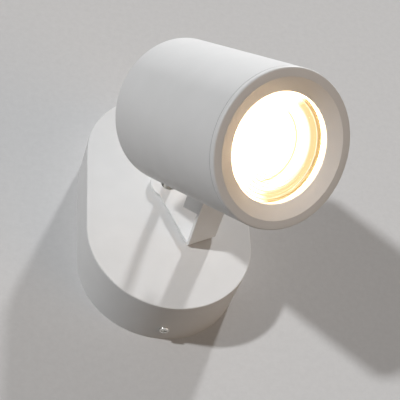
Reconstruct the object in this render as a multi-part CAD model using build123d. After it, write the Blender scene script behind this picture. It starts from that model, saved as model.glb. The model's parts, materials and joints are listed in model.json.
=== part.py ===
from build123d import *
import os
from math import cos, radians, sin, tan

# Surface mounted spotlight: an oval base, a folded swivelling arm and a tilting tube head
# that holds a twist-lock reflector lamp.  Millimetres and degrees.
# Z = 0 is the mounting surface, +Z points out of it, Y runs along the oval.

# ---------------------------------------------------------------- driving dimensions
# base
base_width = 77.0
base_length = 121.0
base_height = 27.0
cover_wall = 1.6
cover_top = 2.0
cover_edge_round = 0.5
plate_thickness = 1.5
plate_gap = 0.6
slot_spacing = 76.0
slot_width = 5.0
slot_length = 16.0
cover_screw_height = 9.0
cable_entry_y = 22.0
cable_entry_radius = 4.0

# swivel, on the centre line of the oval
swivel_y = 6.5
swivel_azimuth = -64.9
nipple_radius = 5.0
nipple_bore = 3.8
glide_thickness = 0.4

# folded arm
sheet = 1.5
arm_width = 14.4
arm_front = 34.1
arm_lean = 4.0
ear_depth = 11.5
ear_low_front = 50.5
ear_low_back = 42.0
foot_end_radius = 8.6
bend_inside = 0.4

# tilting head, seen from the side: forward distance from the swivel, height above the surface
head_tilt = 38.27
head_front_centre = (52.7, 119.9)
head_radius = 32.5
head_length = 80.0
tube_wall = 1.6
ring_rim = 2.45
ring_face_round = 0.4
seam_chamfer = 0.2
ring_chamfer_radius = 28.64
lens_opening_radius = 22.54
lens_recess = 2.7
pivot_drop = 23.5
pivot_back = 53.2
slot_half = 7.8
slot_front = 45.8
cap_thickness = 3.0

# twist-lock lamp and its holder
lamp_radius = 25.0
lamp_front = 4.3
lamp_base_end = 50.5
pin_circle = 5.0
pin_shank = 1.25
pin_head = 2.4
twist = 22.0
holder_radius = 13.5
holder_front = 50.8
holder_back = 68.0
holder_track_front = 4.4
holder_track_back = 8.2
holder_screw_sink = 2.2
lens_radius = 23.6
lens_thickness = 2.2
bowl_depth = 12.0
bowl_mouth_radius = 22.4
neck_radius = 14.2
board_radius = 12.5
board_thickness = 1.6
chip_radius = 6.0

# hinge bracket inside the head: a channel along the tube, two lugs and an upturned rear tab
spine_low = -16.2
spine_front = -46.5
tab_half_width = 10.5
tab_high = 9.0
lug_reach = 3.8
pillar_x = 8.6
cap_screw_at = (6.0, -9.0)

# base fittings
tab_half = 6.0
tab_top = 14.0
grommet_flange = 8.0
grommet_neck = 6.0
earth_at = (-22.0, -5.0)
terminal_at = (0.0, -20.0)
pole_pitch = 11.0
pole_width = 9.4
block_depth = 15.0
block_height = 12.0
wire_height = 5.5
barrel_radius = 2.3
barrel_half = 6.8
clamp_offset = 4.6

# swivel stack under the cover, from the top down, and the stop that limits its turn
stop_washer_thickness = 1.0
spring_thickness = 1.4
nut_height = 5.0
nut_half_width = 7.0
stop_tab_reach = 13.0
stop_tab_half = 2.0
stop_pin_reach = 11.4
stop_pin_radius = 1.5
stop_pin_azimuth = 90.0

# wires
cable_radius = 2.2
lead_radius = 0.9
mouth_height = 15.4
mouth_spread = 1.25
cable_rise = 36.0
cable_corner = -20.9
cable_exit = -71.5
cable_top = -11.6

# screw shank radii, and the clearances of holes that a shank passes or turns in
m25 = 1.25
m3 = 1.5
m4 = 2.0
swivel_gap = 0.08
pivot_gap = 0.05
pass_gap = 0.2

# ---------------------------------------------------------------- frames
forward = Vector(cos(radians(swivel_azimuth)), sin(radians(swivel_azimuth)), 0)
side = Vector(-forward.Y, forward.X, 0)
head_axis = forward * cos(radians(head_tilt)) + Vector(0, 0, sin(radians(head_tilt)))

# arm frame: X forward, Y to the side, Z out of the surface
arm_frame = Plane(origin=(0, swivel_y, 0), x_dir=forward, z_dir=(0, 0, 1))
# head frame: X to the side, Z along the tube, with 0 at the front face and minus behind it
front_centre = arm_frame.from_local_coords(Vector(head_front_centre[0], 0, head_front_centre[1]))
head_frame = Plane(origin=front_centre, x_dir=side, z_dir=head_axis)

# heights and radii that follow from the driving dimensions
foot_low = base_height + glide_thickness
foot_top = foot_low + sheet
cover_under = base_height - cover_top
inner_glide_low = cover_under - glide_thickness
stop_low = inner_glide_low - stop_washer_thickness
spring_low = stop_low - spring_thickness
nut_low = spring_low - nut_height
nipple_low = nut_low - 1.0
tab_outer = base_length / 2 - cover_wall - 1.0
tube_inside = head_radius - tube_wall
cap_inner = -(head_length - cap_thickness)
lug_outer = arm_width / 2 - sheet - 0.5
spine_high = spine_low + sheet
tab_back = cap_inner + sheet


def web_front(height):
    """Forward distance of the front face of the arm's upright at a height."""
    return arm_front - (height - base_height) * tan(radians(arm_lean))


# the tilt pivot in the arm frame, and the ear that is rounded about it
pivot = (head_front_centre[0] - pivot_back * cos(radians(head_tilt))
         + pivot_drop * sin(radians(head_tilt)),
         head_front_centre[1] - pivot_back * sin(radians(head_tilt))
         - pivot_drop * cos(radians(head_tilt)))
ear_radius = web_front(pivot[1]) - pivot[0]
notch_top = -(pivot_drop - ear_radius - 0.5)


# ---------------------------------------------------------------- helpers
def disc(radius, low, high, at=(0, 0)):
    """Upright cylinder between two heights."""
    upright = (Align.CENTER, Align.CENTER, Align.MIN)
    return Pos(at[0], at[1], low) * Cylinder(radius, high - low, align=upright)


def washer(outer, inner, low, high, at=(0, 0)):
    return disc(outer, low, high, at) - disc(inner, low - 1, high + 1, at)


def block(x, y, z):
    """Box from three (low, high) pairs."""
    corner = (Align.MIN, Align.MIN, Align.MIN)
    return Pos(x[0], y[0], z[0]) * Box(x[1] - x[0], y[1] - y[0], z[1] - z[0], align=corner)


def turned(*outline):
    """Solid of revolution about Z from (radius, height) points."""
    points = [(radius, 0, height) for radius, height in outline]
    return revolve(make_face(Polyline(*points, close=True)), Axis.Z)


def stadium(width, length):
    return SlotOverall(length, width, rotation=90)


def side_plate(outline, low, high):
    """Flat piece in the arm frame, from (forward, height) points, between two side distances."""
    face = make_face(Polyline(*[(f, 0, z) for f, z in outline], close=True))
    return Pos(0, low, 0) * extrude(face, high - low, dir=(0, 1, 0))


def cross(reach, width, depth):
    """Two crossed slots, as a cutter for the recess of a screw head."""
    slots = block((-reach, reach), (-width, width), depth)
    return slots + block((-width, width), (-reach, reach), depth)


def screw(shank, length, head, head_height):
    """Pan-head screw along Z, with its seat at 0 and its shank below."""
    top = disc(head, 0, head_height)
    top = fillet(top.edges().group_by(Axis.Z)[-1], head_height * 0.45)
    recess = cross(head * 0.62, head * 0.13, (head_height * 0.45, head_height + 1))
    return disc(shank, -length, 0) + top - recess


def wire(points, radii, radius):
    """Round wire along straight runs joined by tangent arcs."""
    path = FilletPolyline(*points, radius=radii)
    start = Plane(origin=path @ 0, z_dir=path % 0)
    return sweep(start * Circle(radius), path=path)


def mirrored(solid):
    """The solid and its twin on the other side of the middle plane X = 0."""
    return [solid, mirror(solid, Plane.YZ)]


parts = {}


def keep(name, frame, *solids):
    """Place solids that were made in a local frame and file them under one name."""
    placed = [frame.location * solid for solid in solids]
    parts[name] = placed[0] if len(placed) == 1 else Compound(children=placed)


# ---------------------------------------------------------------- base
def mounting_plate():
    """Flat plate with two fixing slots and an upturned tab at each end for the cover."""
    shrink = 2 * (cover_wall + plate_gap)
    plate = extrude(stadium(base_width - shrink, base_length - shrink), plate_thickness)
    for end in (-1, 1):
        slot = SlotOverall(slot_length, slot_width, rotation=90)
        plate -= Pos(0, end * slot_spacing / 2, -1) * extrude(slot, plate_thickness + 2)
        faces = sorted((end * (tab_outer - plate_thickness), end * tab_outer))
        tab = block((-tab_half, tab_half), faces, (0, tab_top))
        edges = tab.edges().filter_by(Axis.Y).group_by(Axis.Z)[-1]
        plate += fillet(edges, 2.5)
        hole = Plane(origin=(0, end * tab_outer, cover_screw_height), z_dir=(0, end, 0))
        plate -= hole.location * disc(m25, -6, 6)
    holes = [(grommet_neck, (0, cable_entry_y)), (m4, earth_at), (m3, terminal_at)]
    for radius, at in holes:
        plate -= disc(radius, -1, plate_thickness + 1, at)
    return plate


def base_cover():
    outer = extrude(stadium(base_width, base_length), base_height)
    outer = fillet(outer.edges().group_by(Axis.Z)[-1], cover_edge_round)
    inner = stadium(base_width - 2 * cover_wall, base_length - 2 * cover_wall)
    inner = extrude(inner, cover_under)
    inner = fillet(inner.edges().group_by(Axis.Z)[-1], 1.5)
    cover = outer - inner
    cover -= disc(nipple_radius + swivel_gap, cover_under - 1, base_height + 1, (0, swivel_y))
    for end in (-1, 1):
        hole = Plane(origin=(0, end * base_length / 2, cover_screw_height), z_dir=(0, end, 0))
        cover -= hole.location * disc(m25 + pass_gap, -4, 4)
    return cover


def cover_screws():
    made = []
    for end in (-1, 1):
        seat = Plane(origin=(0, end * base_length / 2, cover_screw_height), z_dir=(0, end, 0))
        made.append(seat.location * screw(m25, 5.0, 2.2, 1.2))
    return made


def cable_grommet():
    neck = disc(grommet_neck, 0, plate_thickness)
    flange = disc(grommet_flange, plate_thickness, plate_thickness + 1.5)
    flange = fillet(flange.edges().group_by(Axis.Z)[-1], 0.6)
    return Pos(0, cable_entry_y, 0) * (neck + flange - disc(cable_entry_radius, -1, 9))


def terminal_block():
    """Two-pole terminal block between the lower slot and the swivel."""
    low = plate_thickness
    body = block((-3, 3), (-4, 4), (low, low + 6))
    for pole in (-1, 1):
        x = pole * pole_pitch / 2
        half = block_depth / 2
        casing = block((x - pole_width / 2, x + pole_width / 2), (-half, half),
                       (low, low + block_height))
        body += chamfer(casing.edges().group_by(Axis.Z)[-1], 1.2)
    for pole in (-1, 1):
        x = pole * pole_pitch / 2
        across = Plane(origin=(x, 0, low + wire_height), z_dir=(0, 1, 0))
        body -= across.location * disc(barrel_radius, -block_depth, block_depth)
        for end in (-1, 1):
            well = disc(1.7, low + wire_height, low + block_height + 1, (x, end * clamp_offset))
            body -= well
    body -= disc(m3, 0, low + 6)
    body -= disc(2.9, low + 6, low + block_height + 1)
    return Pos(*terminal_at, 0) * body


def terminal_barrels():
    made = []
    for pole in (-1, 1):
        seat = Plane(origin=(terminal_at[0] + pole * pole_pitch / 2, terminal_at[1],
                             plate_thickness + wire_height), z_dir=(0, 1, 0))
        barrel = washer(barrel_radius, 1.5, -barrel_half, barrel_half)
        for end in (-1, 1):
            tapped = Plane(origin=(0, 0, end * clamp_offset), z_dir=(0, 1, 0))
            barrel -= tapped.location * disc(1.2, 0, 4)
            barrel -= tapped.location * disc(1.2, -4, 0)
        made.append(seat.location * barrel)
    return made


def terminal_screws():
    made = []
    for pole in (-1, 1):
        for end in (-1, 1):
            x = terminal_at[0] + pole * pole_pitch / 2
            y = terminal_at[1] + end * clamp_offset
            low = plate_thickness + wire_height + barrel_radius + 0.3
            head = disc(1.6, low, low + 2.4)
            head -= block((-2, 2), (-0.3, 0.3), (low + 1.6, low + 3))
            made.append(Pos(x, y, 0) * head)
    return made


def terminal_fixing_screw():
    return Pos(*terminal_at, plate_thickness + 6) * screw(m3, 7.5, 2.6, 1.6)


def earth_screw():
    return Pos(*earth_at, plate_thickness + 1.6) * screw(m4, 3.1, 3.8, 2.4)


def earth_washer():
    return washer(4.6, m4, plate_thickness + 0.8, plate_thickness + 1.6, earth_at)


def earth_tag():
    """Ring terminal: an eye under the washer and a sleeve that grips the earth wire."""
    low = plate_thickness
    eye = disc(4.2, low, low + 0.8) + block((0, 7.2), (-1.6, 1.6), (low, low + 0.8))
    grip = Plane(origin=(7.2, 0, low + 1.7), z_dir=(1, 0, 0))
    sleeve = grip.location * washer(1.7, lead_radius, 0, 5)
    return Pos(*earth_at, 0) * (eye - disc(m4, 0, 9) + sleeve)


def base_lead(pole):
    """Wire from one pole of the block up to the lower mouth of the hollow swivel."""
    x = terminal_at[0] + pole * pole_pitch / 2
    y = terminal_at[1] + 2.0
    z = plate_thickness + wire_height
    end = (pole * mouth_spread, swivel_y - 0.8)
    route = [(x, y, z), (x, y + 12, z), (end[0], end[1], z + 1.5), (end[0], end[1], mouth_height)]
    return wire(route, [4.0, 3.2], lead_radius)


def base_lead_earth():
    """Wire from the earth tag up to the same mouth."""
    x = earth_at[0] + 8.0
    y = earth_at[1]
    z = plate_thickness + 1.7
    end = (0.0, swivel_y + 1.4)
    route = [(x, y, z), (x + 7, y, z), (end[0], end[1], z + 3.5), (end[0], end[1], mouth_height)]
    return wire(route, [3.0, 4.0], lead_radius)


flat = Plane.XY
keep("mounting_plate", flat, mounting_plate())
keep("base_cover", flat, base_cover())
keep("cover_screws", flat, *cover_screws())
keep("cable_grommet", flat, cable_grommet())
keep("terminal_block", flat, terminal_block())
keep("terminal_barrels", flat, *terminal_barrels())
keep("terminal_screws", flat, *terminal_screws())
keep("terminal_fixing_screw", flat, terminal_fixing_screw())
keep("earth_screw", flat, earth_screw())
keep("earth_washer", flat, earth_washer())
keep("earth_tag", flat, earth_tag())
keep("base_lead_live", flat, base_lead(-1))
keep("base_lead_neutral", flat, base_lead(1))
keep("base_lead_earth", flat, base_lead_earth())


# ---------------------------------------------------------------- swivel
def swivel_nipple():
    """Hollow threaded tube, fixed in the arm's foot, that turns in the cover."""
    body = washer(nipple_radius, nipple_bore, nipple_low, foot_top)
    low_edges = body.edges().filter_by(GeomType.CIRCLE).group_by(Axis.Z)[0]
    return chamfer(low_edges, 0.4)


def stop_washer():
    """Washer that turns with the arm, with a tab that meets the stop pin."""
    ring = disc(8.5, stop_low, inner_glide_low)
    ring += block((0, stop_tab_reach), (-stop_tab_half, stop_tab_half), (stop_low, inner_glide_low))
    return ring - disc(nipple_radius, 0, 99)


def spring_washer():
    """Split washer, pressed nearly flat, that keeps the swivel stiff."""
    ring = washer(8.0, nipple_radius + 0.2, spring_low, stop_low)
    return ring - block((4, 9), (-0.5, 0.5), (spring_low - 1, stop_low + 1))


def swivel_nut():
    hexagon = extrude(RegularPolygon(nut_half_width, 6, major_radius=False), nut_height)
    rim = nut_half_width + 0.2
    corner = nut_half_width + 1.1
    limit = turned((0, 0), (rim, 0), (corner, 0.8), (corner, nut_height - 0.8),
                   (rim, nut_height), (0, nut_height))
    return Pos(0, 0, nut_low) * (hexagon & limit) - disc(nipple_radius, 0, 99)


def stop_pin():
    at = Vector(0, swivel_y) + Vector(stop_pin_reach, 0).rotate(Axis.Z, stop_pin_azimuth)
    return disc(stop_pin_radius, cover_under - 2.4, cover_under, (at.X, at.Y))


keep("stop_pin", flat, stop_pin())
keep("swivel_nipple", arm_frame, swivel_nipple())
keep("swivel_glide", arm_frame, washer(8.4, nipple_radius + 0.1, base_height, foot_low))
keep("inner_glide", arm_frame, washer(9.0, nipple_radius + 0.1, inner_glide_low, cover_under))
keep("stop_washer", arm_frame, stop_washer())
keep("spring_washer", arm_frame, spring_washer())
keep("swivel_nut", arm_frame, swivel_nut())


# ---------------------------------------------------------------- folded arm
def arm_strip():
    """Foot and upright: one strip with one bend."""
    thick = sheet / cos(radians(arm_lean))
    outline = [(0, foot_low), (web_front(foot_low), foot_low),
               (web_front(pivot[1]), pivot[1]), (web_front(pivot[1]) - thick, pivot[1]),
               (web_front(foot_top) - thick, foot_top), (0, foot_top)]
    strip = side_plate(outline, -arm_width / 2, arm_width / 2)
    bends = strip.edges().filter_by(Axis.Y).sort_by(Axis.X)
    outer = bends.filter_by_position(Axis.Z, foot_low - 0.1, foot_low + 0.1)[-1]
    inner = bends.filter_by_position(Axis.Z, foot_top - 0.1, foot_top + 0.1)[-1]
    strip = fillet(outer, bend_inside + sheet)
    return fillet(strip.edges().sort_by_distance(inner.center())[0], bend_inside)


def arm_ear():
    """Side flange that carries the tilt pivot, rounded about it."""
    outline = [(web_front(ear_low_front), ear_low_front), (web_front(pivot[1]), pivot[1]),
               (pivot[0] - ear_radius, pivot[1]),
               (web_front(ear_low_back) - ear_depth, ear_low_back)]
    flange = side_plate(outline, arm_width / 2 - sheet, arm_width / 2)
    upright = Plane(origin=(pivot[0], arm_width / 2, pivot[1]), z_dir=(0, -1, 0))
    flange += upright.location * disc(ear_radius, 0, sheet)
    return flange - upright.location * disc(m4 + pivot_gap, -5, 5)


def arm_bracket():
    body = arm_strip() + disc(foot_end_radius, foot_low, foot_top)
    body += arm_ear()
    body += mirror(arm_ear(), Plane.XZ)
    return body - disc(nipple_radius, 0, base_height + 5)


def arm_cable():
    """Sleeved cable from the hollow swivel, through the open rear, into the hinge bracket."""
    corner = arm_frame.to_local_coords(head_frame.from_local_coords((0, cable_corner, cable_exit)))
    end = arm_frame.to_local_coords(head_frame.from_local_coords((0, cable_top - 0.4, cable_exit)))
    route = [(0, 0, mouth_height + 0.5), (0, 0, cable_rise), corner, end]
    return wire(route, [20.0, 6.9], cable_radius)


keep("arm_bracket", arm_frame, arm_bracket())
keep("arm_cable", arm_frame, arm_cable())


# ---------------------------------------------------------------- head
def front_ring():
    """Ring with a wide inner chamfer and a spigot that slips into the tube."""
    back = lens_recess + 1.2
    spigot_end = 9.0
    spigot = tube_inside - 0.1
    ring = turned((lens_opening_radius, -lens_recess), (ring_chamfer_radius, 0),
                  (head_radius, 0), (head_radius, seam_chamfer - ring_rim),
                  (head_radius - seam_chamfer, -ring_rim), (spigot, -ring_rim),
                  (spigot, -spigot_end), (spigot - 1.4, -spigot_end), (spigot - 1.4, -back),
                  (lens_opening_radius, -back))
    rim = ring.edges().filter_by(GeomType.CIRCLE).group_by(Axis.Z)[-1].sort_by(SortBy.RADIUS)[-1]
    return fillet(rim, ring_face_round)


def arm_slot():
    """Room for the arm, cut from the underside of the tube out through its open rear."""
    room = block((-slot_half, slot_half), (-head_radius - 1, 0), (-head_length - 1, -slot_front))
    return fillet(room.edges().filter_by(Axis.Y).group_by(Axis.Z)[-1], 1.5)


def head_tube():
    shell = washer(head_radius, tube_inside, -head_length, -ring_rim)
    for end, size in ((0, 0.3), (-1, seam_chamfer)):
        rims = shell.edges().filter_by(GeomType.CIRCLE).group_by(Axis.Z)[end]
        shell = chamfer(rims.sort_by(SortBy.RADIUS)[-1], size)
    return shell - arm_slot()


def rear_cap():
    """Rear disc, let into the tube and notched for the arm, with two countersunk holes."""
    cap = disc(tube_inside, -head_length, cap_inner)
    cap -= block((-slot_half, slot_half), (-head_radius, notch_top), (-head_length - 1, 0))
    for x in (-1, 1):
        at = (x * cap_screw_at[0], cap_screw_at[1])
        cap -= disc(m3 + pass_gap, -head_length - 1, cap_inner + 1, at)
        sink = turned((0, -0.1), (3.1, -0.1), (m3, 1.6), (0, 1.6))
        cap -= Pos(at[0], at[1], -head_length) * sink
    return cap


def rear_cap_screws():
    made = []
    for x in (-1, 1):
        body = turned((0, 0), (2.9, 0), (m3, 1.5), (m3, 6.0), (0, 6.0))
        body -= cross(1.7, 0.35, (-1, 0.8))
        made.append(Pos(x * cap_screw_at[0], cap_screw_at[1], -head_length) * body)
    return made


def hinge_bracket():
    """Channel that carries the head: its tab is screwed to the cap and its lugs hold the pivot."""
    spine = block((-lug_outer, lug_outer), (spine_low, spine_high), (cap_inner, spine_front))
    tab = block((-tab_half_width, tab_half_width), (spine_low, tab_high), (cap_inner, tab_back))
    tab = fillet(tab.edges().filter_by(Axis.Z), 2.0)
    lug = block((lug_outer - sheet, lug_outer), (-pivot_drop, spine_high),
                (-pivot_back - lug_reach, -pivot_back + lug_reach))
    across = Plane(origin=(lug_outer - sheet, -pivot_drop, -pivot_back), z_dir=(1, 0, 0))
    lug += across.location * disc(lug_reach, 0, sheet)
    lug -= across.location * disc(m4, -5, 5)
    body = spine + tab + lug + mirror(lug, Plane.YZ)
    wire_hole = Plane(origin=(0, spine_low, cable_exit), z_dir=(0, 1, 0))
    body -= wire_hole.location * disc(cable_radius + 0.5, -3, 3)
    for x in (-1, 1):
        body -= disc(m3, cap_inner - 1, tab_back + 1, (x * cap_screw_at[0], cap_screw_at[1]))
        body -= disc(m3, cap_inner - 1, tab_back + 1, (x * pillar_x, 0))
    return body


def pivot_screws():
    seat = Plane(origin=(arm_width / 2 + 0.1, -pivot_drop, -pivot_back), z_dir=(1, 0, 0))
    length = arm_width / 2 + 0.1 - lug_outer + sheet
    return mirrored(seat.location * screw(m4, length, 3.4, 1.6))


def pivot_washers():
    seat = Plane(origin=(lug_outer, -pivot_drop, -pivot_back), z_dir=(1, 0, 0))
    return mirrored(seat.location * washer(4.0, m4 + 0.1, 0, 0.4))


def holder_pillars():
    made = []
    for x in (-1, 1):
        pillar = extrude(RegularPolygon(2.4, 6, major_radius=False), -holder_back - tab_back)
        pillar = Pos(x * pillar_x, 0, tab_back) * pillar
        pillar += disc(m3, cap_inner, tab_back, (x * pillar_x, 0))
        pillar -= disc(m25, -holder_back - 5, -holder_back + 1, (x * pillar_x, 0))
        made.append(pillar)
    return made


def holder_screws():
    seat = -holder_front - holder_screw_sink
    body = screw(m25, seat + holder_back + 4.5, 2.1, 1.4)
    return [Pos(x * pillar_x, 0, seat) * body for x in (-1, 1)]


def pin_track(start, width, low, high):
    """Curved track for one lamp pin, from its locked place to its entry."""
    arc = CenterArc((0, 0), pin_circle, start, twist)
    return Pos(0, 0, low) * extrude(SlotArc(arc, width), high - low)


def lampholder():
    """Ceramic twist-lock holder: narrow curved slots over wide tracks, open at one end."""
    body = disc(holder_radius, -holder_back, -holder_front)
    body = chamfer(body.edges().group_by(Axis.Z)[-1], 0.8)
    for start in (90, 270):
        shelf = -holder_front - holder_track_front
        floor = -holder_front - holder_track_back
        body -= pin_track(start, 2 * (pin_shank + 0.4), shelf, -holder_front + 1)
        body -= pin_track(start, 2 * (pin_head + 0.4), floor, shelf)
        entry = Vector(pin_circle, 0).rotate(Axis.Z, start + twist)
        body -= disc(pin_head + 0.4, floor, -holder_front + 1, (entry.X, entry.Y))
    for x in (-1, 1):
        seat = -holder_front - holder_screw_sink
        body -= disc(m25 + pass_gap, -holder_back - 1, -holder_front + 1, (x * pillar_x, 0))
        body -= disc(2.3, seat, -holder_front + 1, (x * pillar_x, 0))
        body -= disc(lead_radius, -holder_back - 1, -holder_back + 4, (x * 3.0, -3.0))
    return body


def head_lead(x):
    """Sleeved wire from the back of the holder down to the cable's upper end."""
    route = [(x * 3.0, -3.0, -holder_back + 3.5), (x * 3.0, -3.0, -holder_back - 3.4),
             (x * 1.1, cable_top, cable_exit)]
    return wire(route, [2.2], lead_radius)


keep("front_ring", head_frame, front_ring())
keep("head_tube", head_frame, head_tube())
keep("rear_cap", head_frame, rear_cap())
keep("rear_cap_screws", head_frame, *rear_cap_screws())
keep("hinge_bracket", head_frame, hinge_bracket())
keep("pivot_screws", head_frame, *pivot_screws())
keep("pivot_washers", head_frame, *pivot_washers())
keep("holder_pillars", head_frame, *holder_pillars())
keep("holder_screws", head_frame, *holder_screws())
keep("lampholder", head_frame, lampholder())
keep("head_leads", head_frame, head_lead(-1), head_lead(1))


# ---------------------------------------------------------------- lamp
def lamp_housing():
    """Reflector lamp: straight rim, curved bowl, narrow neck."""
    front = -lamp_front
    outside = [(0, front), (lamp_radius, front), (lamp_radius, front - 5)]
    curve = Spline((lamp_radius, 0, front - 5), (21.0, 0, front - 19), (neck_radius, 0, front - 32),
                   tangents=((0, 0, -1), (-0.1, 0, -1)))
    neck = [(neck_radius, front - 32), (neck_radius, -lamp_base_end + 1),
            (neck_radius - 1, -lamp_base_end), (0, -lamp_base_end), (0, front)]
    edges = Polyline(*[(r, 0, z) for r, z in outside]) + curve
    edges += Polyline(*[(r, 0, z) for r, z in neck])
    body = revolve(make_face(edges), Axis.Z)
    back = front - lens_thickness
    bowl = turned((0, front + 1), (lens_radius + 0.05, front + 1), (lens_radius + 0.05, back),
                  (bowl_mouth_radius, back), (board_radius, back - bowl_depth), (0, back - bowl_depth))
    body -= bowl
    for end in (-1, 1):
        body -= disc(pin_shank, -lamp_base_end - 1, -lamp_base_end + 3, (0, end * pin_circle))
    return body


def lamp_lens():
    """Front lens with raised rings on its back."""
    front = -lamp_front
    back = front - lens_thickness
    outline = [(0, front), (lens_radius, front), (lens_radius, back), (21.8, back)]
    ridges = 5
    pitch = 4.0
    for ridge in range(ridges):
        outer = 20.8 - ridge * pitch
        outline += [(outer, back + 0.8), (outer - pitch / 2, back), (outer - pitch + 0.2, back + 0.8)]
    outline += [(0, back + 0.8)]
    return turned(*outline)


def led_board():
    low = -lamp_front - lens_thickness - bowl_depth
    return disc(board_radius - 0.3, low, low + board_thickness)


def led_chip():
    low = -lamp_front - lens_thickness - bowl_depth + board_thickness
    chip = disc(chip_radius, low, low + 0.9)
    return fillet(chip.edges().group_by(Axis.Z)[-1], 0.5)


def lamp_pins():
    """The two headed pins that lock behind the holder's shelves."""
    made = []
    for end in (-1, 1):
        pin = turned((0, 2.5), (pin_shank, 2.5), (pin_shank, -5.0), (pin_head, -5.0),
                     (pin_head, -6.6), (pin_head - 0.6, -7.2), (0, -7.2))
        made.append(Pos(0, end * pin_circle, -lamp_base_end) * pin)
    return made


keep("lamp_housing", head_frame, lamp_housing())
keep("lamp_lens", head_frame, lamp_lens())
keep("led_board", head_frame, led_board())
keep("led_chip", head_frame, led_chip())
keep("lamp_pins", head_frame, *lamp_pins())

# ---------------------------------------------------------------- export
os.makedirs("parts", exist_ok=True)
for name, shape in parts.items():
    export_step(shape, "parts/" + name + ".step")
print(len(parts), "parts; pivot at", [round(v, 2) for v in pivot], "ear radius", round(ear_radius, 2))
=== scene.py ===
import json
import math

import bpy
import bmesh
from mathutils import Matrix, Vector


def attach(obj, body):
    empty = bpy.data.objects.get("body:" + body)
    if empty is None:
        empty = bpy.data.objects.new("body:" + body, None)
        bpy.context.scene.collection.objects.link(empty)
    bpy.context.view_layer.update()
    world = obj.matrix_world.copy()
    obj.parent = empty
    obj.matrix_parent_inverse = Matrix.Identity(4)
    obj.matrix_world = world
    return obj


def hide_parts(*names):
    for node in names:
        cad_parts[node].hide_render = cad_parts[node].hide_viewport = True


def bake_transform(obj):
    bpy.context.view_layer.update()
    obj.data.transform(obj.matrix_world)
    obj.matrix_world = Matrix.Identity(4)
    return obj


# A surface mounted spotlight: white powder-coated base, arm and head, with a lit reflector lamp.
# Metres; Z = 0 is the mounting surface and +Z points out of it.

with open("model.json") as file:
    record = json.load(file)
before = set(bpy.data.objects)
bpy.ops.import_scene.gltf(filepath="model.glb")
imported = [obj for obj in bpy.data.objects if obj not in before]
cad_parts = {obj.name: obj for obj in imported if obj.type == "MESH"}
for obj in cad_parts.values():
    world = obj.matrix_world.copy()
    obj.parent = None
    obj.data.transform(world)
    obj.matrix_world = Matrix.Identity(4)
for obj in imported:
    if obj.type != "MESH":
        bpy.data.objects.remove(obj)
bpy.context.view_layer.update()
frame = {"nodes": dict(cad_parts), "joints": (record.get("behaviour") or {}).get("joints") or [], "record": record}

mm = 0.001
to_mm = 1000.0
joints = {joint["name"]: joint for joint in frame["joints"]}
up = Vector((0, 0, 1))

# ---------------------------------------------------------------- the head's own frame
head_axis = Vector(joints["ring_pull"]["axis"]).normalized()
head_side = Vector(joints["tilt"]["axis"]).normalized()
head_up = head_axis.cross(head_side)
lamp_base_end = 50.5 * mm
front_centre = Vector(joints["lamp_twist"]["pos_m"]) + head_axis * lamp_base_end
head_turn = Matrix((head_side, head_up, head_axis)).transposed().to_4x4()
head_frame = Matrix.Translation(front_centre) @ head_turn

# the arm's own frame: X forward, Y to the side
forward = head_side.cross(up)
swivel = Vector(joints["swivel"]["pos_m"])
arm_turn = Matrix((forward, head_side, up)).transposed().to_4x4()
arm_frame = Matrix.Translation((swivel.x, swivel.y, 0)) @ arm_turn


# ---------------------------------------------------------------- node helpers
def add_node(tree, kind, inputs=None, **settings):
    """A shader node with its settings and input values; an input that is a socket is linked."""
    node = tree.nodes.new(kind)
    for name, value in settings.items():
        setattr(node, name, value)
    for name, value in (inputs or {}).items():
        if isinstance(value, bpy.types.NodeSocket):
            tree.links.new(value, node.inputs[name])
        else:
            node.inputs[name].default_value = value
    return node


def new_material(name, colour, roughness, metallic=0.0):
    """A Principled material; returns it with its tree and shader."""
    material = bpy.data.materials.new(name)
    material.use_nodes = True
    shader = material.node_tree.nodes["Principled BSDF"]
    shader.inputs["Base Color"].default_value = (*colour, 1)
    shader.inputs["Roughness"].default_value = roughness
    shader.inputs["Metallic"].default_value = metallic
    return material, material.node_tree, shader


def place(tree, stretch=(1, 1, 1)):
    """Object coordinates in millimetres, stretched along the axes."""
    coordinates = add_node(tree, "ShaderNodeTexCoord")
    scale = tuple(to_mm * factor for factor in stretch)
    return add_node(tree, "ShaderNodeMapping",
                    {"Vector": coordinates.outputs["Object"], "Scale": scale}).outputs["Vector"]


def noise(tree, where, size, detail=2.0, roughness=0.5):
    """Cloudy pattern whose blots are about size millimetres across."""
    texture = add_node(tree, "ShaderNodeTexNoise",
                       {"Vector": where, "Scale": 1 / size, "Detail": detail,
                        "Roughness": roughness})
    return texture.outputs["Fac"]


def between(tree, amount, low, high):
    """A value that runs from low to high as amount runs from 0.3 to 0.7."""
    span = add_node(tree, "ShaderNodeMapRange",
                    {"Value": amount, "From Min": 0.3, "From Max": 0.7,
                     "To Min": low, "To Max": high})
    return span.outputs["Result"]


def blend_colours(tree, amount, first, second):
    mix = add_node(tree, "ShaderNodeMix", data_type="RGBA")
    tree.links.new(amount, mix.inputs["Factor"])
    mix.inputs["A"].default_value = (*first, 1)
    mix.inputs["B"].default_value = (*second, 1)
    return mix.outputs["Result"]


def bump(tree, shader, height, depth):
    """Relief of depth millimetres."""
    node = add_node(tree, "ShaderNodeBump",
                    {"Height": height, "Strength": 1.0, "Distance": depth * mm})
    tree.links.new(node.outputs["Normal"], shader.inputs["Normal"])


def combine(tree, first, second, operation):
    node = add_node(tree, "ShaderNodeMath", {0: first, 1: second}, operation=operation)
    return node.outputs["Value"]


def head_offset(tree):
    """Object coordinates measured from the centre of the head's front face."""
    coordinates = add_node(tree, "ShaderNodeTexCoord").outputs["Object"]
    offset = add_node(tree, "ShaderNodeVectorMath", {0: coordinates, 1: tuple(front_centre)},
                      operation="SUBTRACT")
    return offset.outputs["Vector"]


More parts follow.
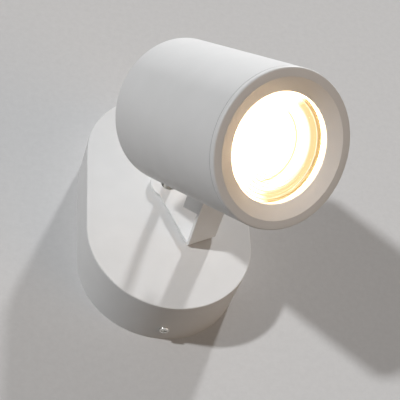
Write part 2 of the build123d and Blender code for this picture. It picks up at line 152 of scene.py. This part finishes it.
def from_head(tree):
    """Distance from the head's axis and depth behind its front face, both in millimetres."""
    places = {0: head_offset(tree), 1: tuple(head_axis)}
    along = add_node(tree, "ShaderNodeVectorMath", places, operation="DOT_PRODUCT")
    across = add_node(tree, "ShaderNodeVectorMath", places, operation="CROSS_PRODUCT")
    length = add_node(tree, "ShaderNodeVectorMath", {0: across.outputs["Vector"]},
                      operation="LENGTH")
    depth = combine(tree, along.outputs["Value"], -to_mm, "MULTIPLY")
    radius = combine(tree, length.outputs["Value"], to_mm, "MULTIPLY")
    return radius, depth


def ramp(tree, value, low, high, stops):
    """Colours along a value, from (share, colour) stops between low and high."""
    share = add_node(tree, "ShaderNodeMapRange",
                     {"Value": value, "From Min": low, "From Max": high})
    node = add_node(tree, "ShaderNodeValToRGB", {"Fac": share.outputs["Result"]})
    elements = node.color_ramp.elements
    while len(elements) < len(stops):
        elements.new(0.5)
    for element, (position, colour) in zip(elements, stops):
        element.position = position
        element.color = (*colour, 1)
    return node.outputs["Color"]


def towards(tree, direction):
    """Distance from the head's axis towards one side of it, in millimetres."""
    along = add_node(tree, "ShaderNodeVectorMath",
                     {0: head_offset(tree), 1: tuple(direction * to_mm)},
                     operation="DOT_PRODUCT")
    return along.outputs["Value"]


def fade(tree, value, low, high, start=0.0, end=1.0):
    """A value that runs from start to end as another runs from low to high."""
    node = add_node(tree, "ShaderNodeMapRange",
                    {"Value": value, "From Min": low, "From Max": high,
                     "To Min": start, "To Max": end})
    return node.outputs["Result"]


def shown_rays(tree):
    """1 for the rays that show a surface in the picture, in gloss or through glass, else 0."""
    path = add_node(tree, "ShaderNodeLightPath").outputs
    shown = combine(tree, path["Is Camera Ray"], path["Is Glossy Ray"], "MAXIMUM")
    return combine(tree, shown, path["Is Transmission Ray"], "MAXIMUM")


# ---------------------------------------------------------------- materials
# painted shade: the seam between the front ring and the tube is darkened as a line round the outside
seam_depth = 2.45
seam_half_width = 0.14
seam_inner_radius = 31.0
seam_shade = (0.42, 0.42, 0.42)


def powder_coat(name, dullest=0.6, glossiest=0.46, seam=False):
    """Fine-textured white paint: a faint grain, soft mottling and slightly uneven sheen; with seam, a painted
    shade line round the seam.
    """
    material, tree, shader = new_material(name, (0.84, 0.84, 0.83), 0.5)
    where = place(tree)
    mottle = between(tree, noise(tree, where, 14.0, 3.0), 0.0, 1.0)
    colour = blend_colours(tree, mottle, (0.825, 0.825, 0.82), (0.855, 0.855, 0.85))
    # painted shade: a grey line at the seam's depth, only near the outside of the head
    if seam:
        radius, depth = from_head(tree)
        line = add_node(tree, "ShaderNodeMath", {0: depth, 1: seam_depth, 2: seam_half_width},
                        operation="COMPARE")
        outside = combine(tree, radius, seam_inner_radius, "GREATER_THAN")
        line = combine(tree, line.outputs["Value"], outside, "MULTIPLY")
        mix = add_node(tree, "ShaderNodeMix", {"Factor": line}, data_type="RGBA")
        tree.links.new(colour, mix.inputs["A"])
        mix.inputs["B"].default_value = (*seam_shade, 1)
        colour = mix.outputs["Result"]
    tree.links.new(colour, shader.inputs["Base Color"])
    sheen = between(tree, noise(tree, where, 1.2, 3.0), glossiest, dullest)
    tree.links.new(sheen, shader.inputs["Roughness"])
    grain = noise(tree, where, 0.32, 2.0, 0.6)
    bump(tree, shader, grain, 0.03)
    return material


def zinc_steel():
    """Rolled and zinc-plated sheet: faint rolling lines and cloudy spangle."""
    material, tree, shader = new_material("zinc_steel", (0.62, 0.63, 0.64), 0.34, 1.0)
    lines = noise(tree, place(tree, (1, 12, 12)), 2.4, 3.0)
    cloud = noise(tree, place(tree), 5.0, 3.0)
    colour = blend_colours(tree, between(tree, cloud, 0, 1), (0.56, 0.57, 0.58), (0.68, 0.69, 0.70))
    tree.links.new(colour, shader.inputs["Base Color"])
    tree.links.new(between(tree, lines, 0.26, 0.44), shader.inputs["Roughness"])
    bump(tree, shader, lines, 0.006)
    return material


def plated_screw():
    """Bright nickel plate with fine turning marks."""
    material, tree, shader = new_material("plated_screw", (0.72, 0.71, 0.68), 0.24, 1.0)
    marks = noise(tree, place(tree, (6, 6, 1)), 1.5, 2.0)
    colour = blend_colours(tree, between(tree, marks, 0, 1), (0.68, 0.67, 0.64), (0.77, 0.76, 0.73))
    tree.links.new(colour, shader.inputs["Base Color"])
    tree.links.new(between(tree, marks, 0.18, 0.32), shader.inputs["Roughness"])
    bump(tree, shader, marks, 0.004)
    return material


def brass():
    material, tree, shader = new_material("brass", (0.74, 0.55, 0.27), 0.3, 1.0)
    tarnish = noise(tree, place(tree), 1.8, 4.0)
    colour = blend_colours(tree, between(tree, tarnish, 0, 1), (0.62, 0.44, 0.2), (0.8, 0.61, 0.32))
    tree.links.new(colour, shader.inputs["Base Color"])
    tree.links.new(between(tree, tarnish, 0.38, 0.22), shader.inputs["Roughness"])
    bump(tree, shader, noise(tree, place(tree, (1, 1, 8)), 0.9, 2.0), 0.005)
    return material


def tinned_copper():
    material, tree, shader = new_material("tinned_copper", (0.7, 0.67, 0.62), 0.36, 1.0)
    cloud = noise(tree, place(tree), 1.4, 3.0)
    colour = blend_colours(tree, between(tree, cloud, 0, 1), (0.64, 0.6, 0.55), (0.76, 0.74, 0.7))
    tree.links.new(colour, shader.inputs["Base Color"])
    bump(tree, shader, cloud, 0.006)
    return material


def moulded(name, dark, light, roughness, grain=0.5, depth=0.012):
    """A moulded or insulated surface: two close tones and a fine skin."""
    material, tree, shader = new_material(name, light, roughness)
    where = place(tree)
    cloud = between(tree, noise(tree, where, 4.0, 3.0), 0.0, 1.0)
    tree.links.new(blend_colours(tree, cloud, dark, light), shader.inputs["Base Color"])
    skin = noise(tree, where, grain, 2.0)
    spread = between(tree, skin, roughness - 0.06, roughness + 0.08)
    tree.links.new(spread, shader.inputs["Roughness"])
    bump(tree, shader, skin, depth)
    return material


def porcelain():
    """Unglazed steatite: chalky, with sparse dark specks."""
    material, tree, shader = new_material("porcelain", (0.84, 0.81, 0.74), 0.62)
    where = place(tree)
    specks = add_node(tree, "ShaderNodeTexVoronoi", {"Vector": where, "Scale": 0.9})
    speck = add_node(tree, "ShaderNodeMapRange",
                     {"Value": specks.outputs["Distance"], "From Min": 0.05, "From Max": 0.12,
                      "To Min": 0.0, "To Max": 1.0})
    colour = blend_colours(tree, speck.outputs["Result"], (0.62, 0.57, 0.5), (0.85, 0.82, 0.75))
    tree.links.new(colour, shader.inputs["Base Color"])
    bump(tree, shader, noise(tree, where, 0.4, 3.0), 0.02)
    return material


def braided_sleeve():
    """Glass-fibre braid: two crossing sets of fine yarns over a pale ground."""
    material, tree, shader = new_material("braided_sleeve", (0.84, 0.83, 0.78), 0.8)
    height = None
    for lean in (1, -1):
        waves = add_node(tree, "ShaderNodeTexWave",
                         {"Vector": place(tree, (1, 1, lean)), "Scale": 0.42, "Distortion": 0.4},
                         wave_type="BANDS", bands_direction="DIAGONAL")
        yarns = waves.outputs["Fac"]
        height = yarns if height is None else combine(tree, height, yarns, "MULTIPLY")
    colour = blend_colours(tree, height, (0.66, 0.64, 0.58), (0.88, 0.87, 0.83))
    tree.links.new(colour, shader.inputs["Base Color"])
    bump(tree, shader, height, 0.12)
    return material


# the lit lamp, painted light: the bowl's glow is painted as warm emission far brighter than white; on its shaded
# side the steps carry painted golden reflections, and its rim is painted hottest on one side
hot_light = (1.0, 0.70, 0.42)
hottest_light = (5.5, 3.8, 2.2)
soft_white = (0.21, 0.20, 0.18)
hot_strength = 6.0
amber = (0.100, 0.062, 0.021)
golden = (0.160, 0.118, 0.056)
pale_gold = (0.19, 0.155, 0.10)
dark = (0.02, 0.016, 0.012)
# the bowl's lit part, its rim and its steps, in millimetres from the axis or behind the front
lit_radius = 23.8
lit_front = 4.32
lit_back = 19.0
rim_inner_radius = 22.9
steps_front = 6.4
steps_back = 16.4
shaded_side = head_side * 0.86 - head_up * 0.5
ring_glint_side = head_side * -0.55 - head_up * 0.83
ring_pitch = 1.6


def lamp_body():
    """White lamp shell outside; inside the bowl, painted light: the reflector's glow as emission, painted golden
    reflections on its steps towards the shaded side, and a rim painted hotter on one side.
    """
    material, tree, shader = new_material("lamp_body", (0.82, 0.82, 0.82), 0.35)
    radius, depth = from_head(tree)
    # painted reflections: amber, white and golden bands on the steps by depth
    steps = ramp(tree, depth, steps_front, steps_back,
                 [(0.0, amber), (0.115, amber), (0.12, soft_white), (0.132, soft_white),
                  (0.14, golden), (0.31, golden), (0.38, soft_white), (0.5, hot_light),
                  (0.745, hot_light), (0.755, pale_gold), (0.815, pale_gold),
                  (0.825, hot_light), (1.0, hot_light)])
    # painted shade: these bands show only on the shaded side; the other side is painted hot
    side = towards(tree, shaded_side)
    light = add_node(tree, "ShaderNodeMix", {"Factor": fade(tree, side, 0.0, 7.0)},
                     data_type="RGBA")
    light.inputs["A"].default_value = (*hot_light, 1)
    tree.links.new(steps, light.inputs["B"])
    # painted highlight: the rim glows hotter towards one side of the head
    bright = fade(tree, towards(tree, head_side), 2.0, 20.0)
    edge = blend_colours(tree, bright, hot_light, hottest_light)
    at_rim = combine(tree, radius, rim_inner_radius, "GREATER_THAN")
    rim = add_node(tree, "ShaderNodeMix", {"Factor": at_rim}, data_type="RGBA")
    tree.links.new(light.outputs["Result"], rim.inputs["A"])
    tree.links.new(edge, rim.inputs["B"])
    inside = combine(tree, radius, lit_radius, "LESS_THAN")
    shallow = combine(tree, depth, lit_back, "LESS_THAN")
    deep = combine(tree, depth, lit_front, "GREATER_THAN")
    lit = combine(tree, combine(tree, inside, shallow, "MULTIPLY"), deep, "MULTIPLY")
    glow = add_node(tree, "ShaderNodeMix", {"Factor": lit}, data_type="RGBA")
    glow.inputs["A"].default_value = (0, 0, 0, 1)
    tree.links.new(rim.outputs["Result"], glow.inputs["B"])
    tree.links.new(glow.outputs["Result"], shader.inputs["Emission Color"])
    shader.inputs["Emission Strength"].default_value = hot_strength
    tree.links.new(blend_colours(tree, lit, (0.82, 0.82, 0.82), dark), shader.inputs["Base Color"])
    shader.inputs["Specular IOR Level"].default_value = 0.15
    bump(tree, shader, noise(tree, place(tree), 0.8, 2.0), 0.01)
    return material


def clear_lens():
    """Clear moulded plastic with painted light: a faint warm painted glow, and painted glints on its rings towards
    the lower left.
    """
    material, tree, shader = new_material("clear_lens", (0.5, 0.42, 0.3), 0.08)
    radius, _ = from_head(tree)
    turns = combine(tree, radius, math.tau / ring_pitch, "MULTIPLY")
    wave = add_node(tree, "ShaderNodeMath", {0: turns}, operation="SINE").outputs["Value"]
    line = fade(tree, wave, 0.35, 1.0)
    # painted glints: the rings show as lines only towards the lower left
    edge = fade(tree, towards(tree, ring_glint_side), 1.0, 13.0, 0.0, 0.7)
    lines = combine(tree, line, edge, "MULTIPLY")
    tree.links.new(combine(tree, lines, 0.05, "ADD"), shader.inputs["Alpha"])
    # painted glow: a faint warm light from the lens itself
    shader.inputs["Emission Color"].default_value = (0.9, 0.7, 0.36, 1)
    shader.inputs["Emission Strength"].default_value = 0.9
    bump(tree, shader, noise(tree, place(tree), 1.6, 2.0), 0.02)
    return material


def led_phosphor():
    material, tree, shader = new_material("led_phosphor", (0.98, 0.82, 0.32), 0.4)
    cloud = between(tree, noise(tree, place(tree), 0.7, 3.0), 0, 1)
    glow = blend_colours(tree, cloud, (1.0, 0.74, 0.48), hot_light)
    tree.links.new(glow, shader.inputs["Emission Color"])
    shader.inputs["Emission Strength"].default_value = hot_strength
    return material


def board_white():
    material, tree, shader = new_material("board_white", (0.86, 0.86, 0.84), 0.5)
    cloud = between(tree, noise(tree, place(tree), 2.0, 3.0), 0, 1)
    # painted light: the whole board glows warm as emission, as if lit
    glow = blend_colours(tree, cloud, (0.95, 0.68, 0.42), hot_light)
    tree.links.new(glow, shader.inputs["Emission Color"])
    shader.inputs["Emission Strength"].default_value = hot_strength
    return material


def green_yellow():
    """Earth wire: yellow stripes on green."""
    material, tree, shader = new_material("green_yellow", (0.24, 0.5, 0.12), 0.45)
    waves = add_node(tree, "ShaderNodeTexWave", {"Vector": place(tree), "Scale": 0.12},
                     wave_type="BANDS", bands_direction="Y")
    stripes = ramp(tree, waves.outputs["Fac"], 0.0, 1.0,
                   [(0.45, (0.2, 0.46, 0.08)), (0.55, (0.85, 0.75, 0.08))])
    tree.links.new(stripes, shader.inputs["Base Color"])
    bump(tree, shader, noise(tree, place(tree), 0.5, 2.0), 0.01)
    return material


finishes = {
    "white_paint": powder_coat("powder_coat"),
    "zinc_steel": zinc_steel(),
    "plated_screw": plated_screw(),
    "brass": brass(),
    "tinned_copper": tinned_copper(),
    "black_rubber": moulded("black_rubber", (0.02, 0.02, 0.02), (0.045, 0.045, 0.045), 0.75,
                            grain=0.4, depth=0.03),
    "white_nylon": moulded("white_nylon", (0.78, 0.77, 0.72), (0.84, 0.83, 0.79), 0.45),
    "porcelain": porcelain(),
    "lamp_body": lamp_body(),
    "lamp_lens": clear_lens(),
    "board_white": board_white(),
    "led_phosphor": led_phosphor(),
    "brown_wire": moulded("brown_wire", (0.2, 0.09, 0.04), (0.28, 0.14, 0.07), 0.45),
    "blue_wire": moulded("blue_wire", (0.05, 0.16, 0.5), (0.08, 0.22, 0.6), 0.45),
    "green_wire": green_yellow(),
    "sleeve": braided_sleeve(),
}

for part in frame["record"]["subparts"]:
    piece = frame["nodes"][part["node"]]
    for slot in piece.material_slots:
        slot.material = finishes[part["material_slot"]]

ring_coat = powder_coat("ring_coat", 0.46, 0.34, seam=True)
tube_coat = powder_coat("tube_coat", seam=True)
for slot in frame["nodes"]["head_tube"].material_slots:
    slot.material = tube_coat


# ---------------------------------------------------------------- pieces
def mesh_piece(name, mesh, material):
    piece = bpy.data.objects.new(name, mesh)
    bpy.context.scene.collection.objects.link(piece)
    mesh.materials.append(material)
    mesh.polygons.foreach_set("use_smooth", [True] * len(mesh.polygons))
    return piece


def turned_mesh(name, outline, around):
    """Mesh of revolution in the head's frame, from (radius, depth) points in millimetres."""
    shape = bmesh.new()
    points = [shape.verts.new((radius * mm, 0, -depth * mm)) for radius, depth in outline]
    edges = [shape.edges.new(pair) for pair in zip(points, points[1:])]
    bmesh.ops.spin(shape, geom=points + edges, cent=(0, 0, 0), axis=(0, 0, 1),
                   angle=math.tau, steps=around, use_duplicate=False)
    bmesh.ops.remove_doubles(shape, verts=shape.verts, dist=0.002 * mm)
    bmesh.ops.recalc_face_normals(shape, faces=shape.faces)
    bmesh.ops.transform(shape, matrix=head_frame, verts=shape.verts)
    mesh = bpy.data.meshes.new(name)
    shape.to_mesh(mesh)
    shape.free()
    return mesh


def hold_edges(piece, crisp_angle=20):
    """Keep edges crisp where faces meet at more than an angle, in degrees."""
    shape = bmesh.new()
    shape.from_mesh(piece.data)
    for edge in shape.edges:
        edge.smooth = edge.calc_face_angle(0) < math.radians(crisp_angle)
    shape.to_mesh(piece.data)
    shape.free()


# the lens: a flat clear front, a thick rim and moulded rings on its back
lens_radius = 23.6
lens_front = 4.3
lens_back = 6.5
lens_round = 0.3
lens_rim = 1.6
ring_start = 1.9
ring_count = 13
ring_relief = 0.55
lens_middle = 0.6
middle_relief = 0.2


def lit_lens():
    outline = [(0, lens_front), (lens_radius - lens_round, lens_front),
               (lens_radius, lens_front + lens_round), (lens_radius, lens_back),
               (lens_radius - lens_rim, lens_back)]
    for ring in range(ring_count):
        outer = lens_radius - ring_start - ring * ring_pitch
        for share in (0.0, 0.25, 0.5, 0.75):
            relief = ring_relief * math.sin(math.pi * share)
            outline.append((outer - share * ring_pitch, lens_back - ring_relief + relief))
    outline.append((lens_middle, lens_back - ring_relief))
    outline.append((0, lens_back - middle_relief))
    piece = mesh_piece("lit_lens", turned_mesh("lit_lens", outline, 128), finishes["lamp_lens"])
    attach(piece, "lamp")
    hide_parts("lamp_lens")


lit_lens()

# the front ring: a softly rounded rim, a crisp inner bevel, a relieved edge at the seam, a spigot
ring_radius = 32.5
rim_round = 0.75
opening_radius = 22.54
bevel_radius = 28.64
bevel_depth = 2.7
face_edge = 30.0
rim_round_steps = 8
wall_start = 1.4
seam_relief = 0.2
shelf_back = 3.9
spigot_radius = 30.8
spigot_wall = 1.4
spigot_end = 9.0


def painted_ring():
    corner = ring_radius - rim_round
    outline = [(opening_radius, shelf_back), (opening_radius, bevel_depth), (bevel_radius, 0.0),
               (face_edge, 0.0)]
    for step in range(rim_round_steps + 1):
        angle = math.radians(90 - step * 90 / rim_round_steps)
        outline.append((corner + rim_round * math.cos(angle), rim_round * (1 - math.sin(angle))))
    outline += [(ring_radius, wall_start), (ring_radius, seam_depth - seam_relief),
                (ring_radius - seam_relief, seam_depth), (spigot_radius, seam_depth),
                (spigot_radius, spigot_end), (spigot_radius - spigot_wall, spigot_end),
                (spigot_radius - spigot_wall, shelf_back), (opening_radius, shelf_back)]
    piece = mesh_piece("painted_ring", turned_mesh("painted_ring", outline, 160), ring_coat)
    hold_edges(piece)
    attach(piece, "front_ring")
    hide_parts("front_ring")


painted_ring()

# the sleeved cable that bends from the hollow swivel into the head, on the route of its solid
cable_radius = 2.2 * mm
cable_start = 15.9
cable_rise = 36.0
cable_corner = -20.9
cable_exit = -71.5
cable_top = -12.0


def arm_cable():
    corner = head_frame @ Vector((0, cable_corner * mm, cable_exit * mm))
    end = head_frame @ Vector((0, cable_top * mm, cable_exit * mm))
    start = arm_frame @ Vector((0, 0, cable_start * mm))
    rise = arm_frame @ Vector((0, 0, cable_rise * mm))
    points = [start, start.lerp(rise, 0.6), rise.lerp(corner, 0.1), rise.lerp(corner, 0.55),
              corner.lerp(rise, 0.12), corner.lerp(end, 0.3), end]
    curve = bpy.data.curves.new("arm_cable_route", "CURVE")
    curve.dimensions = "3D"
    curve.bevel_depth = cable_radius
    curve.bevel_resolution = 6
    curve.resolution_u = 16
    curve.use_fill_caps = True
    spline = curve.splines.new("NURBS")
    spline.points.add(len(points) - 1)
    for point, where in zip(spline.points, points):
        point.co = (*where, 1)
    spline.order_u = 3
    spline.use_endpoint_u = True
    route = bpy.data.objects.new("arm_cable_route", curve)
    mesh = bpy.data.meshes.new_from_object(route)
    bpy.data.objects.remove(route)
    piece = mesh_piece("sleeved_cable", mesh, finishes["sleeve"])
    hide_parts("arm_cable")
    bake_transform(piece)


arm_cable()


# ---------------------------------------------------------------- floor
floor_half = 3.0
floor_pale = (0.72, 0.72, 0.72)
floor_pale_dull = (0.68, 0.68, 0.68)
floor_bounce = (0.27, 0.26, 0.25)


def pale_floor():
    """Plain pale surface. Light that bounces off it towards the object is that of a grey wall."""
    material, tree, shader = new_material("pale_floor", (0.7, 0.7, 0.7), 0.9)
    where = place(tree)
    grain = between(tree, noise(tree, where, 3.0, 4.0, 0.7), 0.0, 1.0)
    shown = blend_colours(tree, grain, floor_pale_dull, floor_pale)
    mix = add_node(tree, "ShaderNodeMix", {"Factor": shown_rays(tree)}, data_type="RGBA")
    mix.inputs["A"].default_value = (*floor_bounce, 1)
    tree.links.new(shown, mix.inputs["B"])
    tree.links.new(mix.outputs["Result"], shader.inputs["Base Color"])
    shader.inputs["Specular IOR Level"].default_value = 0.1
    mesh = bpy.data.meshes.new("floor")
    corners = [(x * floor_half, y * floor_half, 0) for x, y in ((-1, -1), (1, -1), (1, 1), (-1, 1))]
    mesh.from_pydata(corners, [], [(0, 1, 2, 3)])
    floor = bpy.data.objects.new("floor", mesh)
    bpy.context.scene.collection.objects.link(floor)
    floor.data.materials.append(material)


pale_floor()


# ---------------------------------------------------------------- light
world_fill = 0.11
backdrop_shown = 0.62


def soft_lamp(name, direction, spread, strength, colour):
    """Distant round lamp, spread degrees wide, that shines evenly from a direction."""
    light = bpy.data.lights.new(name, "SUN")
    light.angle = math.radians(spread)
    light.energy = strength
    light.color = colour
    lamp = bpy.data.objects.new(name, light)
    bpy.context.scene.collection.objects.link(lamp)
    lamp.rotation_euler = Vector(direction).to_track_quat("Z", "Y").to_euler()


soft_lamp("lamp_left", (-0.692, 0.061, 0.719), 3.5, 1.57, (0.985, 0.99, 1.0))
soft_lamp("lamp_right", (0.355, 0.889, 0.291), 4.5, 2.2, (0.985, 0.99, 1.0))
soft_lamp("lamp_front", (0.75, -0.45, 0.48), 46.0, 0.48, (1.0, 0.70, 0.45))

world = bpy.data.worlds.new("studio")
bpy.context.scene.world = world
world.use_nodes = True
background = world.node_tree.nodes["Background"]
background.inputs["Color"].default_value = (0.97, 0.985, 1.0, 1)
backdrop = fade(world.node_tree, shown_rays(world.node_tree), 0.0, 1.0, world_fill, backdrop_shown)
world.node_tree.links.new(backdrop, background.inputs["Strength"])

# ---------------------------------------------------------------- camera
camera_place = Vector((-0.1099, -0.3099, 0.4382))
camera_right = Vector((0.9657, -0.0527, 0.2543))
camera_up = Vector((-0.1079, 0.8093, 0.5774))
focal_pixels = 1126.0
frame_pixels = 400.0

camera_data = bpy.data.cameras.new("camera")
camera_data.sensor_width = 36.0
camera_data.lens = focal_pixels / frame_pixels * camera_data.sensor_width
camera_data.clip_start = 0.01
camera = bpy.data.objects.new("camera", camera_data)
bpy.context.scene.collection.objects.link(camera)
camera_back = camera_right.cross(camera_up).normalized()
camera_up = camera_back.cross(camera_right).normalized()
turn = Matrix((camera_up.cross(camera_back), camera_up, camera_back)).transposed().to_4x4()
camera.matrix_world = Matrix.Translation(camera_place) @ turn
bpy.context.scene.camera = camera
bpy.context.scene.view_settings.view_transform = "Standard"
